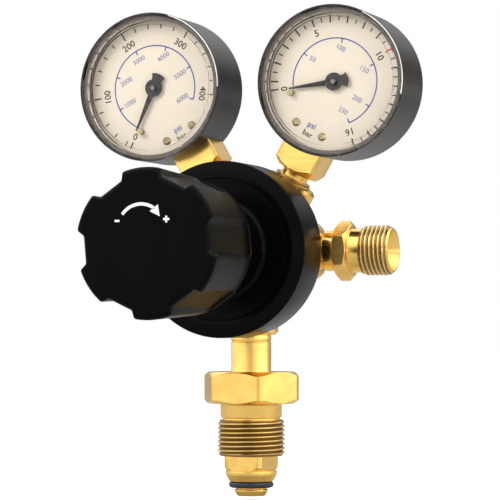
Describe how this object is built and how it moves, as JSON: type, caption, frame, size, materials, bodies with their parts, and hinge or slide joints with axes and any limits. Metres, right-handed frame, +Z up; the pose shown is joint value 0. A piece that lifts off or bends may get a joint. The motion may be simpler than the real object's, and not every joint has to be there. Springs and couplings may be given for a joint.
{
  "type": "gas pressure regulator",
  "caption": "Gas cylinder pressure regulator with a round bonnet, a fluted adjusting knob, dial gauges, a captive inlet nut and a threaded outlet.",
  "frame": {"origin": "on the inlet axis at the lower end of the inlet nut's thread", "axes": "+Z up along the inlet axis, -Y forward along the bonnet and knob axis, +X to the outlet"},
  "size_m": [0.1156, 0.1126, 0.1643],
  "materials": {
    "brass": "bright machined",
    "brass_nut": "bright machined with brushed flats",
    "movement_brass": "satin",
    "bonnet_black": "glossy",
    "knob_black": "glossy",
    "case_black": "satin",
    "window": "clear",
    "dial_white": "matt print",
    "pointer_black": "matt",
    "dull_brass": "dull",
    "steel": "satin",
    "spring_steel": "oiled",
    "rubber": "soft",
    "diaphragm_rubber": "fabric reinforced",
    "slip_fibre": "waxed",
    "seat_plastic": "moulded",
    "copper": "soft annealed",
    "sinter": "sintered"
  },
  "bodies": {
    "body": {"regulator_body": "brass", "bonnet": "bonnet_black", "range_spring": "spring_steel", "diaphragm": "diaphragm_rubber", "slip_ring": "slip_fibre", "valve_seat": "brass", "valve_spring": "spring_steel", "rear_plug": "brass", "plug_washer": "copper", "inlet_filter": "sinter", "inlet_tail": "brass", "inlet_o_ring": "rubber", "outlet_connector": "brass", "relief_housing": "brass", "relief_spring": "spring_steel", "relief_cap": "brass", "left_gauge_case": "case_black", "left_gauge_lens": "window", "left_gauge_dial": "dial_white", "left_gauge_dial_screws": "dull_brass", "left_gauge_hairspring": "spring_steel", "left_gauge_movement": "movement_brass", "left_gauge_tube": "movement_brass", "left_gauge_stem": "brass", "left_gauge_back_screws": "steel", "right_gauge_case": "case_black", "right_gauge_lens": "window", "right_gauge_dial": "dial_white", "right_gauge_dial_screws": "dull_brass", "right_gauge_hairspring": "spring_steel", "right_gauge_movement": "movement_brass", "right_gauge_tube": "movement_brass", "right_gauge_stem": "brass", "right_gauge_back_screws": "steel"},
    "inlet_nut": {"inlet_nut": "brass_nut"},
    "spring_button": {"spring_button": "steel"},
    "knob": {"adjusting_knob": "knob_black", "adjusting_screw": "steel"},
    "valve": {"diaphragm_plate": "brass", "diaphragm_nut": "brass", "valve_poppet": "seat_plastic"},
    "relief_poppet": {"relief_poppet": "rubber"},
    "left_sector": {"left_gauge_sector": "movement_brass"},
    "left_pointer": {"left_gauge_pointer": "pointer_black", "left_gauge_pinion": "movement_brass"},
    "left_link": {"left_gauge_link": "steel"},
    "right_sector": {"right_gauge_sector": "movement_brass"},
    "right_pointer": {"right_gauge_pointer": "pointer_black", "right_gauge_pinion": "movement_brass"},
    "right_link": {"right_gauge_link": "steel"}
  },
  "joints": [
    {"name": "nut_turn", "type": "hinge", "parent": "body", "child": "inlet_nut", "pos_m": [0, 0, 0], "axis": [0, 0, 1], "continuous": true},
    {"name": "screw_advance", "type": "slide", "parent": "body", "child": "spring_button", "axis": [0, 1, 0], "range_m": [0, 0.012], "deforming": ["range_spring"]},
    {"name": "knob_turn", "type": "hinge", "parent": "spring_button", "child": "knob", "pos_m": [0, 0, 0.0692], "axis": [0, 1, 0], "range_deg": [0, 2880]},
    {"name": "valve_lift", "type": "slide", "parent": "body", "child": "valve", "axis": [0, 1, 0], "range_m": [0, 0.0008], "stiffness_N_per_m": 2000, "deforming": ["valve_spring", "diaphragm"]},
    {"name": "relief_lift", "type": "slide", "parent": "body", "child": "relief_poppet", "axis": [-1, 0, 0], "range_m": [0, 0.0015], "stiffness_N_per_m": 1000, "deforming": ["relief_spring"]},
    {"name": "left_sector_turn", "type": "hinge", "parent": "body", "child": "left_sector", "pos_m": [-0.02792, 0, 0.11756], "axis": [0, -1, 0], "range_deg": [0, 31.76], "stiffness_Nm_per_rad": 0.0002, "deforming": ["left_gauge_tube", "left_gauge_hairspring"]},
    {"name": "left_pointer_turn", "type": "hinge", "parent": "body", "child": "left_pointer", "pos_m": [-0.03242, 0, 0.12535], "axis": [0, 1, 0], "range_deg": [0, 254.1]},
    {"name": "left_link_turn", "type": "hinge", "parent": "left_sector", "child": "left_link", "pos_m": [-0.02314, 0, 0.11928], "axis": [0, -1, 0], "range_deg": [-31.86, 0]},
    {"name": "right_sector_turn", "type": "hinge", "parent": "body", "child": "right_sector", "pos_m": [0.02792, 0, 0.11756], "axis": [0, -1, 0], "range_deg": [0, 32.44], "stiffness_Nm_per_rad": 0.0002, "deforming": ["right_gauge_tube", "right_gauge_hairspring"]},
    {"name": "right_pointer_turn", "type": "hinge", "parent": "body", "child": "right_pointer", "pos_m": [0.03242, 0, 0.12535], "axis": [0, 1, 0], "range_deg": [0, 259.5]},
    {"name": "right_link_turn", "type": "hinge", "parent": "right_sector", "child": "right_link", "pos_m": [0.0318, 0, 0.11428], "axis": [0, -1, 0], "range_deg": [-32.54, 0]}
  ],
  "couplings": [
    {"joint": "knob_turn", "follows": "screw_advance", "rad_per_m": 4188.8},
    {"joint": "left_pointer_turn", "follows": "left_sector_turn", "ratio": 8},
    {"joint": "left_link_turn", "follows": "left_sector_turn", "ratio": -1},
    {"joint": "right_pointer_turn", "follows": "right_sector_turn", "ratio": 8},
    {"joint": "right_link_turn", "follows": "right_sector_turn", "ratio": -1}
  ]
}
